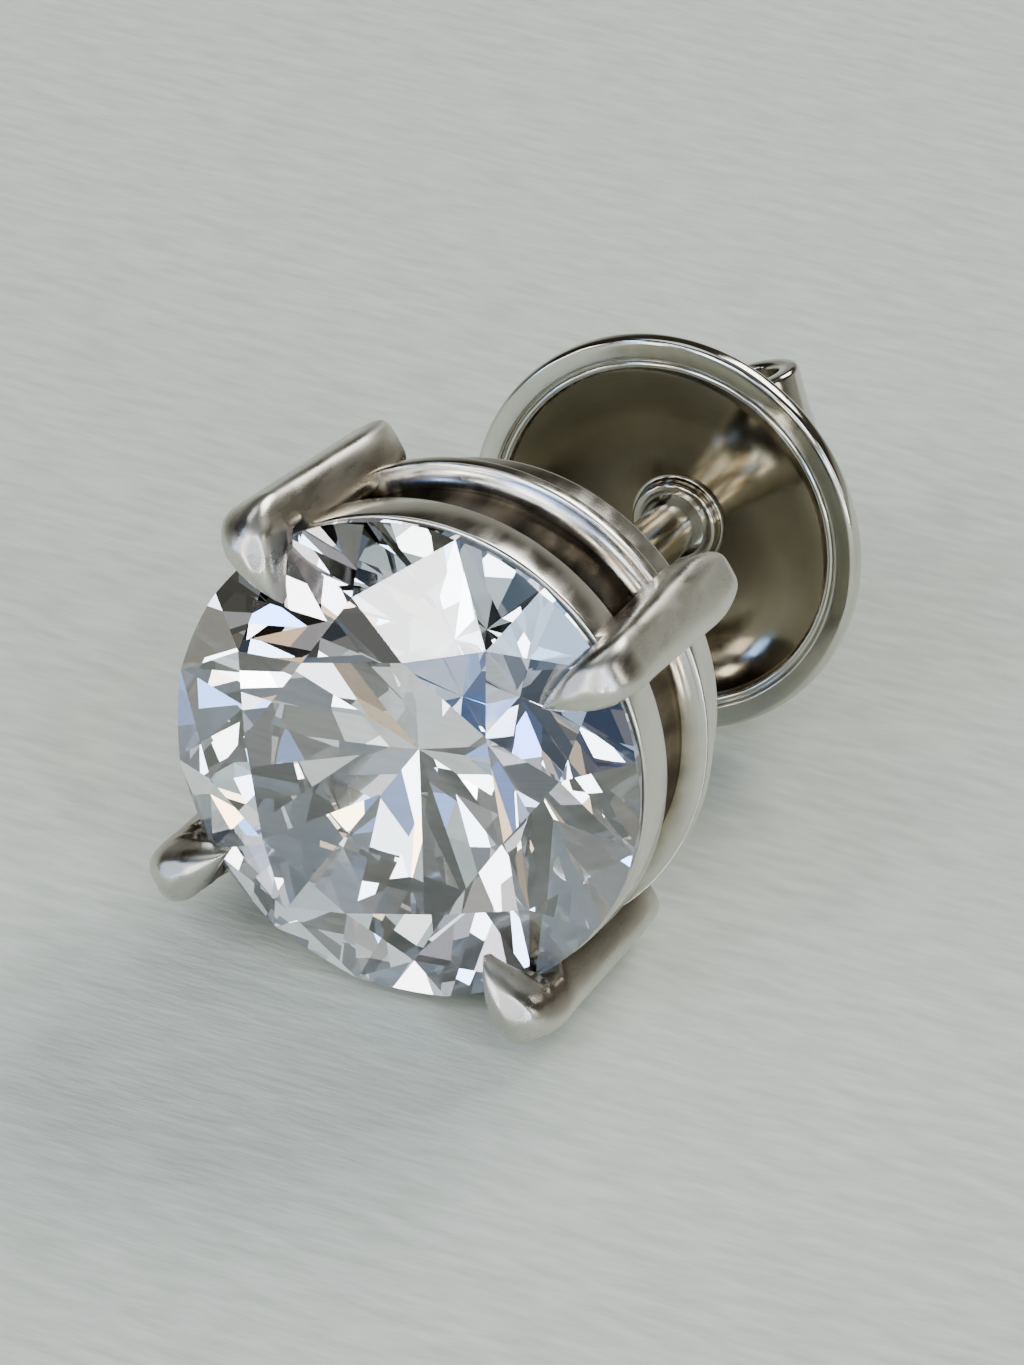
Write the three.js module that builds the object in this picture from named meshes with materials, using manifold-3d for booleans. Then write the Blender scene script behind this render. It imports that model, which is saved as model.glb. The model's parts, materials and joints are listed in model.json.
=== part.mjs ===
// A stud earring with one round brilliant stone in a four-claw cup, a straight post,
// and a dished butterfly clutch pushed on to the post. Millimetres, +Z up.
//
// The earring lies as it would by itself: on the lip of its cup and on the rim of the
// clutch, with the face of the stone towards -Y and the post pointing to +Y, rolled over
// until the foot of a claw stops it.
// Every piece is first built round the earring's own axis, the local Y axis. There y = 0
// is the middle of the girdle, the crown is at negative y and the post at positive y.

import * as THREE from 'three';
import { mergeVertices } from 'three/addons/utils/BufferGeometryUtils.js';
import Module from 'manifold-3d';

const wasm = await Module();
wasm.setup();

const deg = THREE.MathUtils.degToRad;

// The stone: a round brilliant of about one carat
const STONE = {
	radius: 3.25,
	girdle: 0.16,
	table: 0.57, // width of the table over the width of the stone
	crownAngle: deg( 34.5 ),
	pavilionAngle: deg( 40.8 ),
	star: 0.5, // how far the star facets reach from the table to the girdle
	lowerHalf: 0.77, // how far the lower halves reach from the girdle to the point
	sides: 64
};
const SEAT_GAP = 0.05; // between the stone and the metal that holds it
const ROLL = deg( 7.5 ); // how far the lying earring has rolled over

// The cup, seen in section: a plain band under the girdle, a hollow neck, a thin lip,
// a groove, and a second band that ends in the flat back
const CUP = {
	wall: 2.7,
	bandRadius: 3.27,
	bandFront: 0.12,
	bandBack: 0.78,
	neckRadius: 2.93,
	neckMiddle: 1.42,
	neckBack: 1.95,
	lipRadius: 3.3,
	lipFront: 2.03,
	lipBack: 2.27,
	grooveRadius: 2.84,
	footRadius: 3.0,
	footFront: 2.5,
	back: 3.1,
	floor: 2.96,
	edge: 0.06,
	sides: 24
};

// One claw, seen from its side: r is the distance from the axis
const CLAW = {
	count: 4,
	firstAngle: deg( 45 ),
	width: 1.0, // at the foot
	shoulderWidth: 0.76,
	edge: 0.14,
	inner: 3.02,
	frontRadius: 3.93,
	footRadius: 3.74,
	footEnd: 3.36,
	footRound: 0.36,
	footLength: 0.8, // over which the foot narrows to its round end
	shoulder: -0.3,
	top: -1.06,
	topRadius: 3.3,
	tipRadius: 2.6,
	tipHeight: -0.74,
	taperFrom: 3.5,
	ridgeDrop: 0.26
};

const POST = { radius: 0.375, end: 13.0, seatRadius: 0.66, seatHeight: 0.34, sides: 20 };

// The clutch, measured from the front of its rim
const CLUTCH = {
	place: 8.2,
	turn: deg( - 30 ),
	radius: 2.83,
	rim: 0.45,
	depth: 0.58,
	metal: 0.3,
	holeGap: 0.06,
	hubRadius: 0.62,
	hubHeight: 0.2,
	sides: 24
};
const SCROLL = {
	strip: 0.28,
	width: 3.2,
	start: 0.62,
	baseDepth: 0.92,
	radius: 0.66, // of the middle of the strip, where the roll begins
	closing: 0.2, // by how much that radius shrinks along the roll
	sweep: deg( 325 ),
	steps: 30
};

const metalLight = { color: 0xc9c6bd, metalness: 1, roughness: 0.22 };
const metalPolished = { color: 0xcfccc4, metalness: 1, roughness: 0.08 };
const clear = { color: 0xe6eef2, metalness: 0, roughness: 0.02, flatShading: true };

// Turns a closed geometry into a solid, without its seams and its empty triangles
function solid( geometry ) {

	const bare = geometry.clone();
	bare.deleteAttribute( 'normal' );
	bare.deleteAttribute( 'uv' );
	const merged = mergeVertices( bare, 1e-5 );
	const corners = merged.index.array;
	const triVerts = [];
	for ( let i = 0; i < corners.length; i += 3 ) {

		const [ a, b, c ] = corners.slice( i, i + 3 );
		if ( a !== b && b !== c && c !== a ) triVerts.push( a, b, c );

	}

	return new wasm.Manifold( new wasm.Mesh( {
		numProp: 3,
		vertProperties: merged.attributes.position.array,
		triVerts: new Uint32Array( triVerts )
	} ) );

}

// Turns a solid back into a named mesh
function meshOf( name, body, material ) {

	const { vertProperties, triVerts } = body.getMesh();
	const geometry = new THREE.BufferGeometry();
	geometry.setAttribute( 'position', new THREE.BufferAttribute( vertProperties, 3 ) );
	geometry.setIndex( new THREE.BufferAttribute( triVerts, 1 ) );
	geometry.computeVertexNormals();
	const mesh = new THREE.Mesh( geometry, new THREE.MeshStandardMaterial( material ) );
	mesh.name = name;
	return mesh;

}

const at = ( r, y ) => new THREE.Vector2( r, y );

// A profile turned round the local Y axis. It runs from front to back on the outside, so
// that the faces point out, and a flat between two corners faces down once it has rolled.
function turned( points, sides ) {

	return solid( new THREE.LatheGeometry( points, sides, Math.PI / sides - ROLL ) );

}

function onCircle( centre, radius, angle ) {

	return at( centre.x + radius * Math.cos( angle ), centre.y + radius * Math.sin( angle ) );

}

// Points along an arc about a centre, both ends included
function arc( centre, radius, from, to, steps ) {

	const points = [];
	for ( let i = 0; i <= steps; i ++ ) {

		points.push( onCircle( centre, radius, from + ( to - from ) * i / steps ) );

	}

	return points;

}

// The rough is a short drum. Each facet is one flat cut across it, at a slope to the girdle.
// The plane of the cut passes at a distance reach from the axis and a height rise above the
// girdle, and crosses the axis at the apex.
function buildStone() {

	const { radius, girdle, table, crownAngle, pavilionAngle, star, lowerHalf, sides } = STONE;
	const eighth = Math.PI / 8;
	const edge = girdle / 2;
	const crownRise = radius * ( 1 - table ) * Math.tan( crownAngle );
	const tableMiddle = radius * table * Math.cos( eighth );

	const starTip = tableMiddle + star * ( radius - tableMiddle );
	const starTipRise = ( radius - starTip * Math.cos( eighth ) ) * Math.tan( crownAngle );
	const starSlope = Math.atan( ( crownRise - starTipRise ) / ( starTip - tableMiddle ) );

	const cosHalf = Math.cos( eighth / 2 );
	const upperSlope = Math.atan( starTipRise / ( cosHalf * ( radius - starTip ) ) );

	const meet = radius * ( 1 - lowerHalf );
	const meetDrop = ( radius - meet * Math.cos( eighth ) ) * Math.tan( pavilionAngle );
	const lowerSlope = Math.atan( meetDrop / ( cosHalf * ( radius - meet ) ) );

	const cuts = [
		{ side: - 1, count: 1, turn: 0, slope: 0, reach: 0, rise: crownRise },
		{ side: - 1, count: 8, turn: 0, slope: crownAngle, reach: radius, rise: 0 },
		{ side: - 1, count: 8, turn: eighth, slope: starSlope, reach: tableMiddle, rise: crownRise },
		{ side: - 1, count: 16, turn: eighth / 2, slope: upperSlope, reach: radius * cosHalf, rise: 0 },
		{ side: 1, count: 8, turn: 0, slope: pavilionAngle, reach: radius, rise: 0 },
		{ side: 1, count: 16, turn: eighth / 2, slope: lowerSlope, reach: radius * cosHalf, rise: 0 }
	];

	const roughHeight = 4 * radius;
	let stone = solid( new THREE.CylinderGeometry( radius, radius, roughHeight, sides ) );
	const block = new THREE.BoxGeometry( roughHeight, roughHeight, roughHeight );
	block.translate( 0, roughHeight / 2, 0 );
	for ( const { side, count, turn, slope, reach, rise } of cuts ) {

		const apex = edge + rise + reach * Math.tan( slope );
		for ( let i = 0; i < count; i ++ ) {

			const waste = block.clone();
			waste.rotateZ( side < 0 ? Math.PI + slope : - slope );
			waste.translate( 0, side * apex, 0 );
			waste.rotateY( turn + i * 2 * Math.PI / count );
			stone = stone.subtract( solid( waste ) );

		}

	}

	return stone;

}

// Cup and back in one turned profile, open at the front
function buildCup() {

	const c = CUP;
	const neck = new THREE.SplineCurve( [
		at( c.bandRadius - c.edge, c.bandBack + c.edge ),
		at( c.neckRadius + 0.06, c.neckMiddle - 0.3 ),
		at( c.neckRadius, c.neckMiddle ),
		at( c.neckRadius + 0.05, c.neckBack )
	] ).getPoints( 9 );
	return turned( [
		at( 0, c.floor ),
		at( c.wall / 2, c.floor ),
		at( c.wall, c.lipFront ),
		at( c.wall, 0 ),
		at( c.bandRadius - c.edge, c.bandFront ),
		at( c.bandRadius, c.bandFront + c.edge ),
		at( c.bandRadius, c.bandBack ),
		...neck,
		at( c.lipRadius - c.edge, c.lipFront ),
		at( c.lipRadius, c.lipFront + c.edge ),
		at( c.lipRadius, c.lipBack - c.edge ),
		at( c.lipRadius - c.edge, c.lipBack ),
		at( c.grooveRadius, c.lipBack + c.edge ),
		at( c.grooveRadius, c.footFront - c.edge ),
		at( c.footRadius - c.edge, c.footFront ),
		at( c.footRadius, c.footFront + c.edge ),
		at( c.footRadius, c.back - c.edge ),
		at( c.footRadius - c.edge, c.back ),
		at( 0, c.back )
	], c.sides );

}

function buildPost() {

	const { radius, end, seatRadius, seatHeight, sides } = POST;
	const seatBack = CUP.back + seatHeight;
	return turned( [
		at( 0, CUP.floor + 0.02 ),
		at( seatRadius, CUP.floor + 0.02 ),
		at( seatRadius, CUP.back + 0.08 ),
		...arc( at( seatRadius, seatBack ), seatRadius - radius, - Math.PI / 2, - Math.PI, 3 ).slice( 1 ),
		...arc( at( 0, end - radius ), radius, 0, Math.PI / 2, 5 )
	], sides );

}

// One claw that stands on the +X side: its side view is pulled across its width with soft
// edges and narrowed from the foot to the shoulder, then cut to a pointed tip as seen from
// the front, and, as seen from outside, to a ridge along the tip and a round foot
function buildClaw() {

	const c = CLAW;
	const side = new THREE.Shape();
	side.moveTo( c.inner, c.footEnd - c.footRound );
	side.quadraticCurveTo( c.inner, c.footEnd, c.inner + c.footRound, c.footEnd );
	side.quadraticCurveTo( c.footRadius, c.footEnd, c.footRadius, c.footEnd - c.footRound );
	side.lineTo( c.frontRadius, c.shoulder );
	side.quadraticCurveTo( c.frontRadius, c.top + 0.06, c.topRadius, c.top );
	side.quadraticCurveTo( c.tipRadius + 0.2, c.top + 0.04, c.tipRadius, c.tipHeight );
	side.lineTo( c.tipRadius + 0.05, c.tipHeight + 0.26 );
	side.lineTo( c.inner, 0 );
	side.closePath();
	const bar = new THREE.ExtrudeGeometry( side, {
		depth: c.width - 2 * c.edge,
		bevelThickness: c.edge,
		bevelSize: c.edge,
		bevelOffset: - c.edge,
		bevelSegments: 3,
		curveSegments: 7
	} );
	bar.translate( 0, 0, c.edge - c.width / 2 );
	const corners = bar.attributes.position;
	const narrowing = ( c.shoulderWidth / c.width - 1 ) / ( c.shoulder - c.footEnd );
	for ( let i = 0; i < corners.count; i ++ ) {

		const narrowed = 1 + narrowing * ( corners.getY( i ) - c.footEnd );
		corners.setZ( i, corners.getZ( i ) * narrowed );

	}

	const reach = c.frontRadius + 1;
	const tipHalf = c.shoulderWidth / 2;
	const front = new THREE.Shape();
	front.moveTo( c.tipRadius, 0 );
	front.quadraticCurveTo( ( c.tipRadius + c.taperFrom ) / 2, tipHalf, c.taperFrom, tipHalf );
	front.lineTo( reach, tipHalf );
	front.lineTo( reach, - tipHalf );
	front.lineTo( c.taperFrom, - tipHalf );
	front.quadraticCurveTo( ( c.tipRadius + c.taperFrom ) / 2, - tipHalf, c.tipRadius, 0 );
	const past = 1; // how far the cutting shapes run past each other and the ends of the claw
	const tip = new THREE.ExtrudeGeometry( front, {
		depth: c.shoulder - c.top + 2 * past,
		bevelEnabled: false,
		curveSegments: 6
	} );
	tip.rotateX( Math.PI / 2 );
	tip.translate( 0, c.shoulder + past, 0 );
	const shaftLength = c.footEnd - c.shoulder + past;
	const shaft = new THREE.BoxGeometry( reach, shaftLength, 2 * c.width );
	shaft.translate( reach / 2, c.shoulder + shaftLength / 2, 0 );

	const half = c.width / 2 + 0.01;
	const face = new THREE.Shape();
	face.moveTo( 0, c.top );
	face.lineTo( half, c.top + c.ridgeDrop );
	face.absellipse( 0, c.footEnd - c.footLength, half, c.footLength, 0, Math.PI );
	face.lineTo( - half, c.top + c.ridgeDrop );
	const ridged = new THREE.ExtrudeGeometry( face, { depth: reach, bevelEnabled: false, curveSegments: 10 } );
	ridged.rotateY( Math.PI / 2 );

	const pointed = solid( tip ).add( solid( shaft ) );
	return solid( bar ).intersect( pointed ).intersect( solid( ridged ) );

}

// Cup, claws and post are soldered, so they are one solid, with the seat cut for the stone
function buildSetting( stone ) {

	let setting = buildCup().add( buildPost() );
	const claw = buildClaw();
	for ( let i = 0; i < CLAW.count; i ++ ) {

		const angle = CLAW.firstAngle + i * 2 * Math.PI / CLAW.count;
		setting = setting.add( claw.rotate( [ 0, THREE.MathUtils.radToDeg( angle ), 0 ] ) );

	}

	const roomy = ( STONE.radius + SEAT_GAP ) / STONE.radius;
	return setting.subtract( stone.scale( [ roomy, roomy, roomy ] ) );

}

// The dish, hollow towards the stone, with a double rim and a small hub round its hole
function buildDish() {

	const { radius, rim, depth, metal, holeGap, hubRadius, hubHeight, sides } = CLUTCH;
	const hole = POST.radius + holeGap;
	const bowl = radius - rim;
	const dish = new THREE.QuadraticBezierCurve(
		at( bowl, 0.16 ),
		at( bowl - 0.5, depth ),
		at( hubRadius, depth )
	);
	const back = new THREE.QuadraticBezierCurve(
		at( hole, depth + metal ),
		at( bowl - 0.5, depth + metal ),
		at( radius - 0.06, metal )
	);
	return turned( [
		at( hole, depth - hubHeight ),
		at( hubRadius - 0.08, depth - hubHeight ),
		at( hubRadius, depth - hubHeight / 2 ),
		...dish.getPoints( 8 ).reverse(),
		at( bowl + 0.04, 0.05 ),
		at( bowl + 0.14, 0.03 ),
		at( bowl + 0.18, 0.09 ),
		at( bowl + 0.22, 0.03 ),
		at( bowl + 0.32, 0 ),
		at( radius - 0.04, 0.06 ),
		at( radius, 0.16 ),
		...back.getPoints( 7 ).reverse(),
		at( hole, depth - hubHeight )
	], sides );

}

// One strip, soldered to the back of the dish, which rolls outward, back and in again
// until it bears on the post. Its section lies in the X-Y plane.
function buildScroll() {

	const { strip, width, start, baseDepth, radius, closing, sweep, steps } = SCROLL;
	const half = strip / 2;
	const postSide = radius - closing * Math.PI * 1.5 / sweep + half;
	const centre = at( POST.radius + CLUTCH.holeGap + postSide, baseDepth + radius );
	const outer = [ at( start, baseDepth - half ) ];
	const inner = [ at( start, baseDepth + half ) ];
	for ( let i = 0; i <= steps; i ++ ) {

		const along = i / steps;
		const angle = - Math.PI / 2 + sweep * along;
		const middle = radius - closing * along;
		outer.push( onCircle( centre, middle + half, angle ) );
		inner.push( onCircle( centre, middle - half, angle ) );

	}

	const roll = new THREE.Shape( [ ...outer, ...inner.reverse() ] );
	const geometry = new THREE.ExtrudeGeometry( roll, { depth: width, bevelEnabled: false } );
	geometry.translate( 0, 0, - width / 2 );
	return solid( geometry );

}

function buildClutch() {

	const scroll = buildScroll();
	return buildDish().add( scroll ).add( scroll.rotate( [ 0, 180, 0 ] ) );

}

// Lowest point of a mesh, once it is tilted about X by an angle
function lowest( mesh, tilt ) {

	const point = new THREE.Vector3();
	const place = mesh.geometry.attributes.position;
	const tilted = new THREE.Matrix4().makeRotationX( tilt ).multiply( mesh.matrixWorld );
	let low = Infinity;
	for ( let i = 0; i < place.count; i ++ ) {

		low = Math.min( low, point.fromBufferAttribute( place, i ).applyMatrix4( tilted ).z );

	}

	return low;

}

// The tilt at which the cup and the clutch both touch the floor, found by halving
function restingTilt( setting, clutch ) {

	let postDown = deg( - 10 );
	let postUp = deg( 10 );
	for ( let i = 0; i < 40; i ++ ) {

		const tilt = ( postDown + postUp ) / 2;
		if ( lowest( setting, tilt ) < lowest( clutch, tilt ) ) postUp = tilt;
		else postDown = tilt;

	}

	return ( postDown + postUp ) / 2;

}

function buildEarring() {

	const stoneBody = buildStone();
	const stone = meshOf( 'stone', stoneBody, clear );
	const setting = meshOf( 'setting', buildSetting( stoneBody ), metalLight );
	const clutch = meshOf( 'clutch', buildClutch(), metalPolished );

	const stud = new THREE.Group();
	stud.add( stone, setting );
	const back = new THREE.Group();
	back.position.y = CLUTCH.place;
	back.rotation.y = CLUTCH.turn;
	back.add( clutch );

	const lying = new THREE.Group();
	lying.add( stud, back );
	lying.rotation.y = ROLL;
	lying.updateMatrixWorld( true );
	lying.rotation.x = restingTilt( setting, clutch );
	lying.updateMatrixWorld( true );

	const box = new THREE.Box3().setFromObject( lying, true );
	const middle = box.getCenter( new THREE.Vector3() );
	lying.position.set( - middle.x, - middle.y, - box.min.z );

	const earring = new THREE.Group();
	earring.name = 'stud_earring';
	earring.add( lying );
	return earring;

}

export default buildEarring();
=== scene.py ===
# A lying stud earring: fine white-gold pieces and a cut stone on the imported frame, in plain
# studio light. Pieces are built in millimetres round the earring's own axis, the local Y
# axis, where y = 0 is the middle of the girdle, the stone's face looks towards -y and the
# post runs towards +y. PLACE then takes them to the row frame.

import json
import math
import random
from types import SimpleNamespace

import bmesh
import bpy
from mathutils import Matrix, Vector
from mathutils.geometry import interpolate_bezier


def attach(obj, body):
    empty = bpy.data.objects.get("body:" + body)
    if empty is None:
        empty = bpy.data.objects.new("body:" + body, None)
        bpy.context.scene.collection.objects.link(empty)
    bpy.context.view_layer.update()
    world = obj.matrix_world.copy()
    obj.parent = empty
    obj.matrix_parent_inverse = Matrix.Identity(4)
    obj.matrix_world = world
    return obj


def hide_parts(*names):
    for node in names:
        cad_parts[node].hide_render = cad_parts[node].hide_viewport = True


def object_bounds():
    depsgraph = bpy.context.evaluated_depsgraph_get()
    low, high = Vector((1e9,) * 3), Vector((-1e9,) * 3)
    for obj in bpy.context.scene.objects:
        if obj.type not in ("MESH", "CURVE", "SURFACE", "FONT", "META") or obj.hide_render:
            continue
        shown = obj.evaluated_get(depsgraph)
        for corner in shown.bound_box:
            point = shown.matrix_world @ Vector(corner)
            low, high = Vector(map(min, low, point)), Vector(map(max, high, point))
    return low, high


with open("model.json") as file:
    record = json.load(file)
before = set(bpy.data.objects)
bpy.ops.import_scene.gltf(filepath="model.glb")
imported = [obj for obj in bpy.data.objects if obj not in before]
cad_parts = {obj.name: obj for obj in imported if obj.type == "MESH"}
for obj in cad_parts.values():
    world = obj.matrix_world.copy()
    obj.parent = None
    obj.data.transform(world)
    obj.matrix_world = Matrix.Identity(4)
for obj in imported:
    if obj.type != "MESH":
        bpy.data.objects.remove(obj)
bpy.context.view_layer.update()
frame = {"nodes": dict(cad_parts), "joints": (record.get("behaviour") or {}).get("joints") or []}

MM = 0.001
ON_AXIS = 1e-6
IMAGE_WIDTH = 1024
IMAGE_HEIGHT = 1365

ROLL = math.radians(7.5)

STONE = SimpleNamespace(
    radius=3.25,
    girdle=0.16,
    table=0.57,
    crown_angle=math.radians(34.5),
    pavilion_angle=math.radians(40.8),
    star=0.5,
    lower_half=0.77,
    sides=96,
    drum_end=4,
    cut_tolerance=1e-6,
    weld=1e-4,
    flat=math.radians(0.05),
)
# Colours of the facets: a tint of what passes through, and a weak light of some of them
FACETS = SimpleNamespace(
    tint_seed=7,
    tinted=0.35,
    clear=(0.985, 0.99, 0.995),
    tints=(
        (0.72, 0.86, 1.0),
        (1.0, 0.88, 0.72),
        (0.86, 0.84, 1.0),
    ),
    glow_seed=12,
    glow=0.11,
    glow_shares=(0, 0, 0, 0, 0, 0, 0.4, 1.0, 1.6),
    glows=(
        (1.0, 1.0, 1.0),
        (0.85, 0.93, 1.0),
        (0.6, 0.78, 1.0),
        (0.3, 0.45, 0.9),
        (1.0, 0.8, 0.6),
    ),
)
CUP = SimpleNamespace(
    wall=2.7,
    band_radius=3.27,
    band_front=0.12,
    band_back=0.78,
    neck_handles=((2.9, 1.0), (2.86, 1.75)),
    neck_end=2.97,
    neck_back=1.95,
    lip_radius=3.3,
    lip_front=2.03,
    lip_back=2.27,
    groove_radius=2.84,
    foot_radius=3.0,
    foot_front=2.5,
    back=3.1,
    floor=2.96,
    edge=0.06,
    lap=0.02,
    # painted shade in the neck stops this far before the lip
    shade_margin=0.03,
    sides=192,
)
CLAW = SimpleNamespace(
    count=4,
    first_angle=math.radians(45),
    width=1.0,
    shoulder_width=0.76,
    inner=3.02,
    front_radius=3.93,
    foot_radius=3.74,
    foot_end=3.36,
    foot_round=0.36,
    foot_length=1.15,
    shoulder=-0.3,
    top=-1.06,
    top_radius=3.3,
    tip_radius=2.6,
    tip_height=-0.74,
    taper_from=3.5,
    tip_swell=0.35,
    ridge_drop=0.26,
    shaft_end=0.25,
    foot_steps=10,
    shaft_steps=30,
    top_steps=56,
    around=48,
    boxy=4.0,
    ridged=1.4,
    # painted shade on the inner face and sides of each claw
    inner_shade=0.75,
)
SEAT_GAP = 0.05
POST = SimpleNamespace(
    radius=0.375,
    end=13.0,
    sunk=0.05,
    seat_radius=0.66,
    seat_rise=0.12,
    seat_edge=0.08,
    seat_height=0.34,
    seat_fillet=0.26,
    steps=8,
    sides=72,
)
CLUTCH = SimpleNamespace(
    place=8.2,
    turn=math.radians(-30),
    radius=2.83,
    rim=0.45,
    depth=0.58,
    metal=0.3,
    hole_gap=0.06,
    hub_radius=0.62,
    hub_height=0.2,
    bead=0.05,
    bead_middle=0.09,
    bead_steps=8,
    curve_steps=22,
    # painted shade on the hub and the back of the dish; its inside gets it in full
    hub_shade=0.6,
    back_shade=0.3,
    sides=192,
)
SCROLL = SimpleNamespace(
    strip=0.28,
    width=3.2,
    start=0.62,
    base_depth=0.92,
    radius=0.66,
    closing=0.2,
    sweep=math.radians(325),
    steps=96,
    soft=0.07,
    soft_steps=4,
    # a little painted shade on the scrolls
    tone=0.1,
)

# Where the photo was taken from, seen from the earring: shares of its own X, Y and Z
CAMERA_FROM = Vector((0.2797, -0.8387, 0.4673))
POST_ANGLE = math.radians(41.4)  # of the post in the picture, above the horizontal
FILL = 0.7  # of the picture's width that the earring takes
LENS = 250
SENSOR = 36
CLIP_NEAR = 0.001
CLIP_FAR = 10

FLOOR = SimpleNamespace(
    half=1.2,
    steps=24,
    roughness=0.62,
    specular=0.25,
    stretch=(1, 4, 1),
    dark=(0.54, 0.575, 0.50),
    light=(0.67, 0.705, 0.62),
    weave_height=0.02,
    weave_strength=0.5,
)
# Colours by the height of the direction, and strengths by how far it is to the back
SKY = SimpleNamespace(
    horizon=(0.46, 0.47, 0.42),
    bands=(
        (0.16, (0.36, 0.36, 0.31)),
        (0.28, (0.045, 0.038, 0.025)),
        (0.80, (0.035, 0.032, 0.026)),
    ),
    zenith=(0.22, 0.25, 0.28),
    front=-0.6,
    front_strength=0.25,
    back=0.2,
    back_strength=0.9,
)
LIT_SPOT = Vector((0, 0, 0.003))  # the middle of the earring

PANELS = SimpleNamespace(
    seed=21,
    rows=7,
    columns=17,
    first_azimuth=-48,
    first_elevation=4,
    step=7,
    sideways=0.2,
    upward=0.15,
    distance=0.5,
    fill=(0.7, 1.1),
    shines=(0, 0, 0, 0.2, 0.5, 0.9, 1.6, 3.0, 6.0, 12.0, 16.0),
    colours=(
        (1.0, 1.0, 1.0),
        (1.0, 1.0, 1.0),
        (0.94, 0.97, 1.0),
        (0.94, 0.97, 1.0),
        (0.78, 0.89, 1.0),
        (0.78, 0.89, 1.0),
        (0.55, 0.76, 1.0),
        (0.25, 0.45, 1.0),
        (1.0, 0.97, 0.9),
        (1.0, 0.72, 0.42),
    ),
)


def placement():
    """Takes local millimetres to the row frame.

    The slide joint gives the tilt, and the stone gives the place.
    """
    axis = Vector(frame["joints"][0]["axis"])
    turn = Matrix.Rotation(math.atan2(axis.z, axis.y), 4, "X") @ Matrix.Rotation(ROLL, 4, "Y")
    corners = [turn.inverted() @ v.co for v in frame["nodes"]["stone"].data.vertices]
    low = Vector(min(c[k] for c in corners) for k in range(3))
    high = Vector(max(c[k] for c in corners) for k in range(3))
    crown = STONE.radius * (1 - STONE.table) * math.tan(STONE.crown_angle) + STONE.girdle / 2
    girdle = Vector(((low.x + high.x) / 2, low.y + crown * MM, (low.z + high.z) / 2))
    return Matrix.Translation(turn @ girdle) @ turn @ Matrix.Scale(MM, 4)


PLACE = placement()


def quadratic(start, handle, end, steps):
    """Points on a quadratic curve."""
    points = []
    for k in range(steps + 1):
        t = k / steps
        points.append(start * (1 - t) ** 2 + handle * 2 * t * (1 - t) + end * t**2)
    return points


def towards(here, neighbour, fillet):
    """Where a fillet ends on the way to a neighbour.

    A neighbour with a fillet of its own keeps half of the way for it.
    """
    way = Vector(neighbour[:2]) - here
    room = way.length if neighbour[2] == 0 else way.length / 2
    return here + way.normalized() * min(fillet, room)


def rounded(corners, steps=4):
    """Points of an outline given as (r, y, fillet), with each corner rounded by its fillet."""
    points = []
    for i, (r, y, fillet) in enumerate(corners):
        here = Vector((r, y))
        if fillet == 0:
            points.append(here)
            continue
        start = towards(here, corners[i - 1], fillet)
        end = towards(here, corners[(i + 1) % len(corners)], fillet)
        points += quadratic(start, here, end, steps)
    return points


def turned(profile, sides, closed=False):
    """Vertices and faces of a profile turned round the local Y axis.

    A point on the axis is a pole.
    """
    verts = []
    rings = []
    for r, y in profile:
        ring = 1 if r < ON_AXIS else sides
        rings.append([len(verts) + i for i in range(ring)])
        for i in range(ring):
            angle = 2 * math.pi * i / sides
            verts.append((r * math.sin(angle), y, r * math.cos(angle)))
    faces = []
    for a, b in zip(rings, rings[1:] + rings[:1] if closed else rings[1:]):
        for i in range(sides):
            j = (i + 1) % sides
            corners = [a[i % len(a)], b[i % len(b)], b[j % len(b)], a[j % len(a)]]
            faces.append(list(dict.fromkeys(corners)))
    return verts, faces


def ring_shade_tones(profile, shade_tones, sides):
    """One shade tone for each vertex of a turned profile, from one for each point of it."""
    listed = []
    for point, tone in zip(profile, shade_tones):
        listed += [tone] * (1 if point[0] < ON_AXIS else sides)
    return listed


def lofted(sections):
    """Vertices and faces of a skin through closed sections of one count, with capped ends."""
    count = len(sections[0])
    verts = [point for section in sections for point in section]
    faces = []
    for s in range(len(sections) - 1):
        for i in range(count):
            j = (i + 1) % count
            faces.append([s * count + i, s * count + j, (s + 1) * count + j, (s + 1) * count + i])
    faces.append(list(range(count)))
    faces.append([(len(sections) - 1) * count + i for i in range(count)])
    return verts, faces


def piece(name, shape, body, node, material, smooth=True, place=PLACE, shade_tones=None):
    """Makes a piece, rides it on its body and lets it stand for its CAD node.

    Its shape is local vertices and faces. Shade tones say how much painted shade darkens the
    metal at each vertex, from 0 where it is proud to 1 in a hollow.
    """
    verts, faces = shape
    mesh = bpy.data.meshes.new(name)
    mesh.from_pydata([place @ Vector(v) for v in verts], [], faces)
    if shade_tones:
        # Painted shade: how far each vertex is darkened for the shade in hollows and on hidden
        # sides
        hollow = mesh.attributes.new("hollow", "FLOAT", "POINT")
        hollow.data.foreach_set("value", shade_tones)
    shaper = bmesh.new()
    shaper.from_mesh(mesh)
    bmesh.ops.recalc_face_normals(shaper, faces=shaper.faces)
    shaper.to_mesh(mesh)
    shaper.free()
    for polygon in mesh.polygons:
        polygon.use_smooth = smooth
    mesh.materials.append(material)
    obj = bpy.data.objects.new(name, mesh)
    bpy.context.scene.collection.objects.link(obj)
    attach(obj, body)
    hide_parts(node)
    return obj


def new_material(name, sockets):
    """A node material, with constants set on the shader's own sockets."""
    made = bpy.data.materials.new(name)
    made.use_nodes = True
    shader = made.node_tree.nodes["Principled BSDF"]
    for socket, value in sockets.items():
        shader.inputs[socket].default_value = value
    return made, shader


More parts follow.
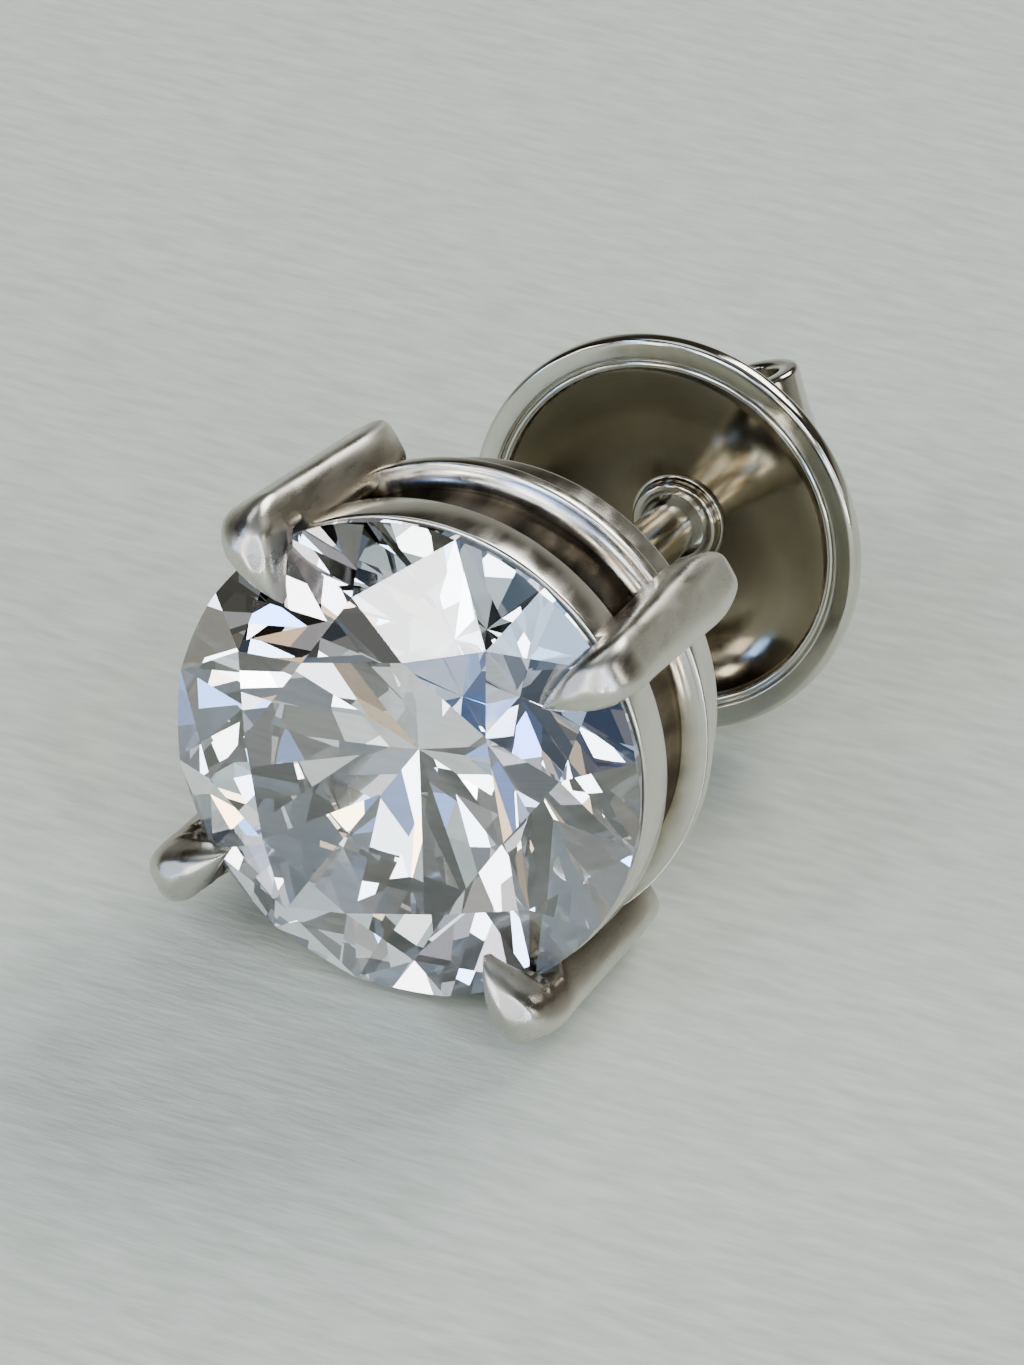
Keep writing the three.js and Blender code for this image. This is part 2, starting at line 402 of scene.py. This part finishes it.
def noise_of(made, scale, stretch=(1, 1, 1), detail=3.0):
    """A noise texture in object coordinates. Scale is in grains per millimetre."""
    tree = made.node_tree
    where = tree.nodes.new("ShaderNodeTexCoord")
    mapping = tree.nodes.new("ShaderNodeMapping")
    mapping.inputs["Scale"].default_value = [scale / MM * s for s in stretch]
    noise = tree.nodes.new("ShaderNodeTexNoise")
    noise.inputs["Scale"].default_value = 1.0
    noise.inputs["Detail"].default_value = detail
    tree.links.new(where.outputs["Object"], mapping.inputs["Vector"])
    tree.links.new(mapping.outputs["Vector"], noise.inputs["Vector"])
    return noise.outputs["Fac"]


def ranged(made, source, low, high, from_low=0.3, from_high=0.7):
    """Spreads a factor between two numbers."""
    node = made.node_tree.nodes.new("ShaderNodeMapRange")
    node.inputs["From Min"].default_value = from_low
    node.inputs["From Max"].default_value = from_high
    node.inputs["To Min"].default_value = low
    node.inputs["To Max"].default_value = high
    made.node_tree.links.new(source, node.inputs["Value"])
    return node.outputs["Result"]


def mixed(made, factor, first, second):
    """Mixes two colours by a factor."""
    node = made.node_tree.nodes.new("ShaderNodeMix")
    node.data_type = "RGBA"
    node.inputs["A"].default_value = (*first, 1)
    node.inputs["B"].default_value = (*second, 1)
    made.node_tree.links.new(factor, node.inputs["Factor"])
    return node.outputs["Result"]


def bumped(made, shader, source, height, strength=1.0, normal=None):
    """Gives a shader bumps of a height in millimetres, on top of another bump node's normal."""
    bump = made.node_tree.nodes.new("ShaderNodeBump")
    bump.inputs["Distance"].default_value = height * MM
    bump.inputs["Strength"].default_value = strength
    made.node_tree.links.new(source, bump.inputs["Height"])
    if normal:
        made.node_tree.links.new(normal, bump.inputs["Normal"])
    made.node_tree.links.new(bump.outputs["Normal"], shader.inputs["Normal"])
    return bump.outputs["Normal"]


def by_painted_shade(made, proud, deep):
    """Mixes two colour sockets by the shade tones of the piece, to paint shade into its hollows.
    """
    tree = made.node_tree
    tone = tree.nodes.new("ShaderNodeAttribute")
    tone.attribute_name = "hollow"
    node = tree.nodes.new("ShaderNodeMix")
    node.data_type = "RGBA"
    tree.links.new(tone.outputs["Fac"], node.inputs["Factor"])
    tree.links.new(proud, node.inputs["A"])
    tree.links.new(deep, node.inputs["B"])
    return node.outputs["Result"]


def gold(name, light, dark, roughness, waves, grain, deep, streaks=2.2):
    """White gold, clouded between two colours, with slow waves and hair-thin scratches.

    In its hollows a painted shade takes over instead: the two deep colours, streaked, stand for
    the shade and dark reflections that fall there. The streaks are counted to the millimetre.
    """
    made, shader = new_material(name, {"Metallic": 1.0})
    link = made.node_tree.links.new
    cloud = ranged(made, noise_of(made, scale=0.9), 0, 1)
    streak = ranged(made, noise_of(made, streaks, stretch=(1, 0.3, 1)), 0, 1)
    proud = mixed(made, cloud, dark, light)
    # Painted shade: the deep colours, streaked, stand for shade and dark reflections
    hollow = mixed(made, streak, *deep)
    link(by_painted_shade(made, proud, hollow), shader.inputs["Base Color"])
    swirl = noise_of(made, scale=5.0, stretch=(1, 0.25, 1), detail=4.0)
    rough = ranged(made, swirl, low=roughness * 0.8, high=roughness * 1.5)
    link(rough, shader.inputs["Roughness"])
    slow = bumped(made, shader, noise_of(made, scale=0.7, detail=1.0), waves)
    hairs = noise_of(made, scale=16, stretch=(1, 0.08, 1), detail=3.0)
    bumped(made, shader, hairs, grain, normal=slow)
    return made


def clear_stone():
    """Colourless stone. Each facet has a faint tint of its own, for the fire of a real one.

    Some facets also give back a little light, which stands for what a real stone gathers in
    more reflections than a render follows.
    """
    made, shader = new_material("cut_stone", {
        "Roughness": 0.0,
        "IOR": 2.417,
        "Transmission Weight": 1.0,
        "Emission Strength": FACETS.glow,
    })
    for attribute, socket in (("facet_tint", "Base Color"), ("facet_glow", "Emission Color")):
        node = made.node_tree.nodes.new("ShaderNodeAttribute")
        node.attribute_name = attribute
        made.node_tree.links.new(node.outputs["Color"], shader.inputs[socket])
    return made


def build_stone(material):
    """A drum cut by one plane for each facet, as the stone in the CAD model is."""
    s = STONE
    eighth = math.pi / 8
    edge = s.girdle / 2
    crown_rise = s.radius * (1 - s.table) * math.tan(s.crown_angle)
    table_middle = s.radius * s.table * math.cos(eighth)
    star_tip = table_middle + s.star * (s.radius - table_middle)
    star_tip_rise = (s.radius - star_tip * math.cos(eighth)) * math.tan(s.crown_angle)
    star_slope = math.atan((crown_rise - star_tip_rise) / (star_tip - table_middle))
    cos_half = math.cos(eighth / 2)
    upper_slope = math.atan(star_tip_rise / (cos_half * (s.radius - star_tip)))
    meet = s.radius * (1 - s.lower_half)
    meet_drop = (s.radius - meet * math.cos(eighth)) * math.tan(s.pavilion_angle)
    lower_slope = math.atan(meet_drop / (cos_half * (s.radius - meet)))
    # side, count, first turn, slope, reach from the axis, height above the girdle
    cuts = [
        (-1, 1, 0, 0, 0, crown_rise),
        (-1, 8, 0, s.crown_angle, s.radius, 0),
        (-1, 8, eighth, star_slope, table_middle, crown_rise),
        (-1, 16, eighth / 2, upper_slope, s.radius * cos_half, 0),
        (1, 8, 0, s.pavilion_angle, s.radius, 0),
        (1, 16, eighth / 2, lower_slope, s.radius * cos_half, 0),
    ]

    cutter = bmesh.new()
    end = s.drum_end
    drum = turned([(0, -end), (s.radius, -end), (s.radius, end), (0, end)], s.sides)
    corners = [cutter.verts.new(v) for v in drum[0]]
    for face in drum[1]:
        cutter.faces.new([corners[i] for i in face])
    for side, count, first, slope, reach, rise in cuts:
        apex = edge + rise + reach * math.tan(slope)
        for i in range(count):
            turn = first + i * 2 * math.pi / count
            normal = Vector((
                math.sin(slope) * math.cos(turn),
                side * math.cos(slope),
                -math.sin(slope) * math.sin(turn),
            ))
            found = bmesh.ops.bisect_plane(
                cutter,
                geom=cutter.verts[:] + cutter.edges[:] + cutter.faces[:],
                plane_co=(0, side * apex, 0),
                plane_no=normal,
                clear_outer=True,
                dist=s.cut_tolerance,
            )
            open_edges = [g for g in found["geom_cut"] if isinstance(g, bmesh.types.BMEdge)]
            bmesh.ops.contextual_create(cutter, geom=open_edges)
    bmesh.ops.remove_doubles(cutter, verts=cutter.verts, dist=s.weld)
    bmesh.ops.dissolve_limit(
        cutter,
        angle_limit=s.flat,
        verts=cutter.verts,
        edges=cutter.edges,
    )
    cutter.verts.ensure_lookup_table()
    for i, vert in enumerate(cutter.verts):
        vert.index = i
    shape = (
        [v.co.copy() for v in cutter.verts],
        [[v.index for v in f.verts] for f in cutter.faces],
    )
    cutter.free()

    obj = piece("brilliant", shape, "stud", "stone", material, smooth=False)
    tint_facets(obj.data)
    glow_facets(obj.data)
    return obj


def tint_facets(mesh):
    """Most facets stay clear, and the others get a breath of sky blue, amber or violet."""
    chance = random.Random(FACETS.tint_seed)
    colours = mesh.color_attributes.new("facet_tint", "FLOAT_COLOR", "CORNER")
    for polygon in mesh.polygons:
        tint = chance.choice(FACETS.tints) if chance.random() < FACETS.tinted else FACETS.clear
        for corner in polygon.loop_indices:
            colours.data[corner].color = (*tint, 1)


def glow_facets(mesh):
    """Most facets keep dark, and the others get a white, a blue or an amber glow."""
    chance = random.Random(FACETS.glow_seed)
    colours = mesh.color_attributes.new("facet_glow", "FLOAT_COLOR", "CORNER")
    for polygon in mesh.polygons:
        share = chance.choice(FACETS.glow_shares)
        glow = [share * g for g in chance.choice(FACETS.glows)]
        for corner in polygon.loop_indices:
            colours.data[corner].color = (*glow, 1)


def build_cup(material):
    """Band, neck, lip, groove and second band, open at the front for the stone."""
    c = CUP
    seat = STONE.girdle / 2 + (STONE.radius + SEAT_GAP - c.wall) * math.tan(STONE.pavilion_angle)
    # Corners are given as (r, y, fillet)
    inside = rounded([
        (0, c.floor, 0),
        (c.wall / 2, c.floor, 0.4),
        (c.wall, c.lip_front, 0.3),
        (c.wall, seat, 0.03),
    ])
    band = rounded([
        (c.wall + c.lap, seat - c.lap, 0),
        (c.band_radius - c.edge, c.band_front + c.lap, 0.02),
        (c.band_radius, c.band_front + 0.04, 0.05),
        (c.band_radius, c.band_back, 0),
    ])
    neck = interpolate_bezier(
        (c.band_radius - c.lap, c.band_back + 0.05),
        *c.neck_handles,
        (c.neck_end, c.neck_back),
        14,
    )
    outside = rounded([
        (c.neck_end, c.neck_back + 0.01, 0),
        (c.lip_radius - c.lap, c.lip_front, 0.05),
        (c.lip_radius, c.lip_front + 0.04, 0.05),
        (c.lip_radius, c.lip_back - c.lap, 0.05),
        (c.lip_radius - 0.1, c.lip_back + 0.01, 0.06),
        (c.groove_radius, c.lip_back + 0.03, 0.03),
        (c.groove_radius, c.foot_front - 0.03, 0.03),
        (c.foot_radius - 0.03, c.foot_front, 0.06),
        (c.foot_radius, c.foot_front + 0.03, 0.05),
        (c.foot_radius, c.back, 0.07),
        (c.foot_radius * 0.5, c.back, 0),
        (0, c.back, 0),
    ])
    neck = [Vector(p[:2]) for p in neck]
    # Painted shade: the neck and the groove of the cup are darkened to the deep colours
    shade_tones = [0.0] * len(inside + band) + [1.0] * len(neck)
    for point in outside:
        in_groove = c.lip_back < point.y < c.foot_front
        in_neck = point.y < c.lip_front - c.shade_margin
        shade_tones.append(1.0 if in_groove or in_neck else 0.0)
    profile = inside + band + neck + outside
    shape = turned(profile, c.sides)
    shade_tones = ring_shade_tones(profile, shade_tones, c.sides)
    return piece("cup", shape, "stud", "setting", material, shade_tones=shade_tones)


def build_post(material):
    """The post, with a soldered seat at its foot and a rounded end."""
    p = POST
    profile = rounded([
        (0, CUP.floor + p.sunk, 0),
        (p.seat_radius, CUP.floor + p.sunk, 0),
        (p.seat_radius, CUP.back + p.seat_rise, p.seat_edge),
        (p.radius, CUP.back + p.seat_height, p.seat_fillet),
        (p.radius, p.end, p.radius),
        (0, p.end, 0),
    ], p.steps)
    shade_tones = ring_shade_tones(profile, [0.0] * len(profile), p.sides)
    shape = turned(profile, p.sides)
    return piece("post", shape, "stud", "setting", material, shade_tones=shade_tones)


def claw_width(r, y):
    """Half the claw's width. It narrows from foot to shoulder, and then to a pointed tip."""
    c = CLAW
    up = (c.foot_end - y) / (c.foot_end - c.shoulder)
    half = (c.width + (c.shoulder_width - c.width) * up) / 2
    if y < c.shoulder:
        along = min(max((r - c.tip_radius) / (c.taper_from - c.tip_radius), 0), 1)
        half *= along * (1 + c.tip_swell * (1 - along))
    foot = max(1 - (c.foot_end - y) / c.foot_length, 0)
    return half * math.sqrt(max(1 - foot**2, 0))


def along_path(points, share):
    """The point at a share of a path's length."""
    lengths = [(b - a).length for a, b in zip(points, points[1:])]
    left = share * sum(lengths)
    for a, b, length in zip(points, points[1:], lengths):
        if left <= length and length > 0:
            return a.lerp(b, left / length)
        left -= length
    return points[-1]


def claw_stations():
    """Pairs of an outer and an inner point (r, y), from the end of the foot to the tip."""
    c = CLAW
    stations = []
    middle = (c.inner + c.foot_radius) / 2
    for k in range(c.foot_steps):
        angle = math.radians(88) * (1 - k / c.foot_steps)
        y = c.foot_end - c.foot_round * (1 - math.sin(angle))
        reach = c.foot_round * math.cos(angle)
        stations.append((Vector((middle + reach, y)), Vector((middle - reach, y))))

    foot_top = c.foot_end - c.foot_round
    lean = (c.front_radius - c.foot_radius) / (foot_top - c.shoulder)
    for k in range(c.shaft_steps + 1):
        y = foot_top + (c.shaft_end - foot_top) * k / c.shaft_steps
        outer = c.front_radius - lean * (y - c.shoulder)
        stations.append((Vector((outer, y)), Vector((c.inner, y))))

    rim = STONE.radius + SEAT_GAP
    edge = STONE.girdle / 2 + 0.02
    under_tip = c.tip_radius + 0.04
    on_crown = -(edge + (rim - under_tip) * math.tan(STONE.crown_angle))
    outside = [stations[-1][0]]
    outside += quadratic(
        Vector((c.front_radius, c.shoulder)),
        Vector((c.front_radius, c.top + 0.06)),
        Vector((c.top_radius, c.top)),
        16,
    )
    outside += quadratic(
        Vector((c.top_radius, c.top)),
        Vector((c.tip_radius + 0.2, c.top + 0.04)),
        Vector((c.tip_radius, c.tip_height)),
        12,
    )[1:]
    inside = [
        Vector((c.inner, c.shaft_end)),
        Vector((rim, edge + 0.03)),
        Vector((rim, -edge)),
        Vector((under_tip, on_crown)),
        Vector((c.tip_radius, c.tip_height + 0.05)),
    ]
    for k in range(1, c.top_steps + 1):
        share = k / c.top_steps
        stations.append((along_path(outside, share), along_path(inside, share)))
    return stations


def build_claws(material):
    """Four claws over the outside of the cup, each a skin through soft-edged sections.

    Along the shaft a section is a rounded box, and at the tip it is ridged: boxy and ridged
    are the powers of the curve that it follows.
    """
    c = CLAW
    sections = []
    shade_tones = []
    for outer, inner in claw_stations():
        to_tip = min(max((c.front_radius - outer.x) / (c.front_radius - c.tip_radius), 0), 1)
        if outer.y > c.shoulder:
            to_tip = 0
        power = 2 / (c.boxy + (c.ridged - c.boxy) * math.sqrt(to_tip))
        section = []
        for i in range(c.around):
            angle = 2 * math.pi * (i + 0.5) / c.around
            wide = math.copysign(abs(math.cos(angle)) ** power, math.cos(angle))
            deep = math.copysign(abs(math.sin(angle)) ** power, math.sin(angle))
            r, y = inner.lerp(outer, 0.5 + deep / 2)
            across = wide * claw_width(r, y)
            ridge = c.top + c.ridge_drop / (c.width / 2) * abs(across)
            section.append((r, max(y, ridge), across))
            # Painted shade: darker towards the inner face of the claw, in full on it
            shade_tones.append(min(max(c.inner_shade - deep, 0), 1))
        sections.append(section)
    verts, faces = lofted(sections)
    for k in range(c.count):
        turn = Matrix.Rotation(c.first_angle + k * 2 * math.pi / c.count, 4, "Y")
        shape = ([turn @ Vector(v) for v in verts], faces)
        piece(f"claw_{k + 1}", shape, "stud", "setting", material, shade_tones=shade_tones)


def clutch_place():
    """Takes the clutch's own millimetres, measured from the front of its rim, to the row frame."""
    return PLACE @ Matrix.Translation((0, CLUTCH.place, 0)) @ Matrix.Rotation(CLUTCH.turn, 4, "Y")


def clutch_piece(name, shape, material, shade_tones):
    """Makes a piece of the clutch, on its sliding body."""
    place = clutch_place()
    return piece(name, shape, "clutch", "clutch", material, place=place, shade_tones=shade_tones)


def build_dish(material):
    """The dish, hollow towards the stone, with a bead, a fine groove and a band on its rim."""
    c = CLUTCH
    hole = POST.radius + c.hole_gap
    bowl = c.radius - c.rim
    front = [
        (hole, c.depth - c.hub_height, 0.03),
        (c.hub_radius, c.depth - c.hub_height, 0.09),
        (c.hub_radius, c.depth, 0.05),
    ]
    inside = quadratic(
        Vector((c.hub_radius + 0.06, c.depth)),
        Vector((bowl - 0.5, c.depth)),
        Vector((bowl, 0.16)),
        c.curve_steps,
    )
    beaded = []
    for k in range(c.bead_steps + 1):
        angle = math.pi * (1 - k / c.bead_steps)
        r = bowl + c.bead + c.bead * math.cos(angle)
        beaded.append(Vector((r, c.bead_middle - c.bead * math.sin(angle))))
    groove = bowl + 2 * c.bead
    rim = rounded([
        (groove + 0.01, 0.12, 0),
        (groove + 0.03, 0.02, 0.03),
        (c.radius - 0.02, 0.0, 0.09),
        (c.radius, c.metal - 0.06, 0.08),
        (c.radius - 0.1, c.metal + 0.03, 0.05),
    ])
    behind = quadratic(
        Vector((c.radius - 0.12, c.metal + 0.05)),
        Vector((bowl - 0.5, c.depth + c.metal)),
        Vector((hole + 0.04, c.depth + c.metal)),
        c.curve_steps,
    )
    corners = rounded([*front, (c.hub_radius + 0.1, c.depth, 0)])[:-1]
    ending = [Vector((hole, c.depth + c.metal - 0.04))]
    profile = corners + inside + beaded + rim + behind + ending
    # Painted shade: the inside of the dish in full, its hub and back in part, the bead and rim
    # none
    shade_tones = [c.hub_shade] * len(corners) + [1.0] * len(inside) + [0.0] * len(beaded + rim)
    shade_tones += [c.back_shade] * len(behind + ending)
    shape = turned(profile, c.sides, closed=True)
    shade_tones = ring_shade_tones(profile, shade_tones, c.sides)
    return clutch_piece("dish", shape, material, shade_tones)


def scroll_outline(half):
    """The two long sides of a rolled strip in the local X-Y plane, for half its thickness."""
    s = SCROLL
    nearest = s.radius - s.closing * math.pi * 1.5 / s.sweep + s.strip / 2
    middle_x = POST.radius + CLUTCH.hole_gap + nearest
    middle_y = s.base_depth + s.radius
    trim = s.strip / 2 - half
    outer = [Vector((s.start + trim, s.base_depth - half))]
    inner = [Vector((s.start + trim, s.base_depth + half))]
    for k in range(s.steps + 1):
        along = k / s.steps
        angle = -math.pi / 2 + (s.sweep - trim / s.radius) * along
        middle = s.radius - s.closing * along
        out = Vector((math.cos(angle), math.sin(angle)))
        outer.append(Vector((middle_x, middle_y)) + out * (middle + half))
        inner.append(Vector((middle_x, middle_y)) + out * (middle - half))
    return outer, inner


def build_scrolls(material):
    """Two strips, each rolled outward, back and in again, with softened edges."""
    s = SCROLL
    layers = []
    for k in range(s.soft_steps + 1):
        angle = math.pi / 2 * k / s.soft_steps
        inset = s.soft * (1 - math.cos(angle))
        layers.append((inset - s.width / 2, s.strip / 2 - s.soft * (1 - math.sin(angle))))
    layers += [(-z, half) for z, half in reversed(layers)]
    verts = []
    faces = []
    count = s.steps + 2
    for z, half in layers:
        outer, inner = scroll_outline(half)
        verts += [(p.x, p.y, z) for p in outer]
        verts += [(p.x, p.y, z) for p in reversed(inner)]
    ring = 2 * count
    for k in range(len(layers) - 1):
        for i in range(ring):
            j = (i + 1) % ring
            faces.append([k * ring + i, k * ring + j, (k + 1) * ring + j, (k + 1) * ring + i])
    for start in (0, (len(layers) - 1) * ring):
        for i in range(count - 1):
            faces.append([start + i, start + i + 1, start + ring - 2 - i, start + ring - 1 - i])
    for k in range(2):
        turn = Matrix.Rotation(math.pi * k, 4, "Y")
        shape = ([turn @ Vector(v) for v in verts], faces)
        # The scrolls get a little painted shade all over
        clutch_piece(f"scroll_{k + 1}", shape, material, [s.tone] * len(verts))


def build_floor():
    """A wide pale satin surface with a barely visible weave, just under the lowest piece."""
    f = FLOOR
    made, shader = new_material("pale_floor", {
        "Roughness": f.roughness,
        "Specular IOR Level": f.specular,
    })
    link = made.node_tree.links.new
    threads = ranged(made, noise_of(made, scale=1.1, stretch=f.stretch, detail=2.0), 0, 1)
    link(mixed(made, threads, f.dark, f.light), shader.inputs["Base Color"])
    weave = noise_of(made, scale=2.5, stretch=f.stretch, detail=2.0)
    bumped(made, shader, weave, f.weave_height, f.weave_strength)
    mesh = bpy.data.meshes.new("floor")
    grid = bmesh.new()
    bmesh.ops.create_grid(grid, x_segments=f.steps, y_segments=f.steps, size=f.half)
    bmesh.ops.translate(grid, verts=grid.verts, vec=(0, 0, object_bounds()[0][2]))
    grid.to_mesh(mesh)
    grid.free()
    mesh.materials.append(made)
    obj = bpy.data.objects.new("floor", mesh)
    bpy.context.scene.collection.objects.link(obj)


def add_softbox(name, azimuth, elevation, distance, size, power, colour):
    """A rectangular area light that looks at the earring.

    It stands towards -Y at azimuth 0, and towards +X at 90.
    """
    light = bpy.data.lights.new(name, "AREA")
    light.shape = "RECTANGLE"
    light.size, light.size_y = size
    light.energy = power
    light.color = colour
    obj = bpy.data.objects.new(name, light)
    a, e = math.radians(azimuth), math.radians(elevation)
    outward = Vector((math.sin(a) * math.cos(e), -math.cos(a) * math.cos(e), math.sin(e)))
    obj.location = LIT_SPOT + outward * distance
    obj.rotation_mode = "QUATERNION"
    obj.rotation_quaternion = outward.to_track_quat("Z", "Y")
    obj.visible_camera = False
    bpy.context.scene.collection.objects.link(obj)


def build_world():
    """Studio surroundings: pale low down behind the earring, and dark in front and above."""
    world = bpy.data.worlds.new("studio")
    bpy.context.scene.world = world
    world.use_nodes = True
    tree = world.node_tree
    where = tree.nodes.new("ShaderNodeTexCoord")
    parts = tree.nodes.new("ShaderNodeSeparateXYZ")
    ramp = tree.nodes.new("ShaderNodeValToRGB")
    stops = ramp.color_ramp.elements
    stops[0].color = (*SKY.horizon, 1)
    stops[1].color = (*SKY.zenith, 1)
    for height, colour in SKY.bands:
        stops.new(height).color = (*colour, 1)
    behind = tree.nodes.new("ShaderNodeMapRange")
    behind.inputs["From Min"].default_value = SKY.front
    behind.inputs["From Max"].default_value = SKY.back
    behind.inputs["To Min"].default_value = SKY.front_strength
    behind.inputs["To Max"].default_value = SKY.back_strength
    tree.links.new(where.outputs["Generated"], parts.inputs["Vector"])
    tree.links.new(parts.outputs["Y"], behind.inputs["Value"])
    tree.links.new(parts.outputs["Z"], ramp.inputs["Fac"])
    tree.links.new(ramp.outputs["Color"], tree.nodes["Background"].inputs["Color"])
    tree.links.new(behind.outputs["Result"], tree.nodes["Background"].inputs["Strength"])


def add_panels():
    """A wall of small bright panels, with gaps, before the stone, for its sparkle."""
    p = PANELS
    chance = random.Random(p.seed)
    cell = p.distance * math.radians(p.step)
    for row in range(p.rows):
        for column in range(p.columns):
            aside = chance.uniform(-p.sideways, p.sideways)
            above = chance.uniform(-p.upward, p.upward)
            azimuth = p.first_azimuth + p.step * (column + aside)
            elevation = p.first_elevation + p.step * (row + above)
            shine = chance.choice(p.shines)
            size = [cell * chance.uniform(*p.fill) for _ in range(2)]
            colour = chance.choice(p.colours)
            if shine:
                power = shine * math.pi * size[0] * size[1]
                name = f"panel_{row}_{column}"
                add_softbox(name, azimuth, elevation, p.distance, size, power, colour)


def build_lights():
    """A strong panel behind, so that the shadow falls forward, two weak ones and the wall."""
    add_softbox(
        "back",
        azimuth=165,
        elevation=42,
        distance=0.5,
        size=(0.26, 0.18),
        power=1.8,
        colour=(1.0, 0.99, 0.95),
    )
    add_softbox(
        "top",
        azimuth=-120,
        elevation=68,
        distance=0.45,
        size=(0.3, 0.2),
        power=0.3,
        colour=(0.9, 0.96, 1.0),
    )
    add_softbox(
        "side",
        azimuth=95,
        elevation=25,
        distance=0.45,
        size=(0.07, 0.2),
        power=0.2,
        colour=(1.0, 0.95, 0.88),
    )
    add_panels()


def build_camera():
    """Looks from the photo's direction with its roll, from far off, nearly in parallel."""
    turn = PLACE.to_quaternion()
    back = (turn @ CAMERA_FROM).normalized()
    post = turn @ Vector((0, 1, 0))
    along = (post - post.dot(back) * back).normalized()
    across = back.cross(along)
    right = math.cos(POST_ANGLE) * along - math.sin(POST_ANGLE) * across
    up = math.sin(POST_ANGLE) * along + math.cos(POST_ANGLE) * across

    corners = [v.co for node in frame["nodes"].values() for v in node.data.vertices]
    spans = []
    for way in (right, up, back):
        reach = [way.dot(c) for c in corners]
        spans.append((min(reach), max(reach)))
    target = Vector()
    for way, span in zip((right, up, back), spans):
        target += way * sum(span) / 2
    width = (spans[0][1] - spans[0][0]) / FILL
    distance = width * IMAGE_HEIGHT / IMAGE_WIDTH * LENS / SENSOR

    data = bpy.data.cameras.new("camera")
    data.lens = LENS
    data.sensor_width = SENSOR
    data.clip_start = CLIP_NEAR
    data.clip_end = CLIP_FAR
    camera = bpy.data.objects.new("camera", data)
    camera.matrix_world = Matrix.Translation(target + back * distance) @ Matrix(
        (right, up, back)
    ).transposed().to_4x4()
    bpy.context.scene.collection.objects.link(camera)
    bpy.context.scene.camera = camera


# Each metal's deep colours are painted shade and dark reflections for its hollows
claw_metal = gold(
    "white_gold_satin",
    light=(0.66, 0.64, 0.57),
    dark=(0.56, 0.54, 0.48),
    roughness=0.26,
    waves=0.0006,
    grain=0.0001,
    deep=((0.20, 0.17, 0.13), (0.36, 0.32, 0.26)),
)
cup_metal = gold(
    "white_gold_cup",
    light=(0.68, 0.66, 0.60),
    dark=(0.58, 0.56, 0.50),
    roughness=0.16,
    waves=0.003,
    grain=0.0001,
    deep=((0.06, 0.045, 0.03), (0.34, 0.28, 0.20)),
)
clutch_metal = gold(
    "white_gold_clutch",
    light=(0.66, 0.65, 0.59),
    dark=(0.52, 0.50, 0.44),
    roughness=0.10,
    waves=0.005,
    grain=0.0001,
    deep=((0.15, 0.125, 0.08), (0.25, 0.215, 0.15)),
    streaks=0.5,
)

build_stone(clear_stone())
build_cup(cup_metal)
build_claws(claw_metal)
build_post(cup_metal)
build_dish(clutch_metal)
build_scrolls(clutch_metal)
build_floor()
build_world()
build_lights()
build_camera()
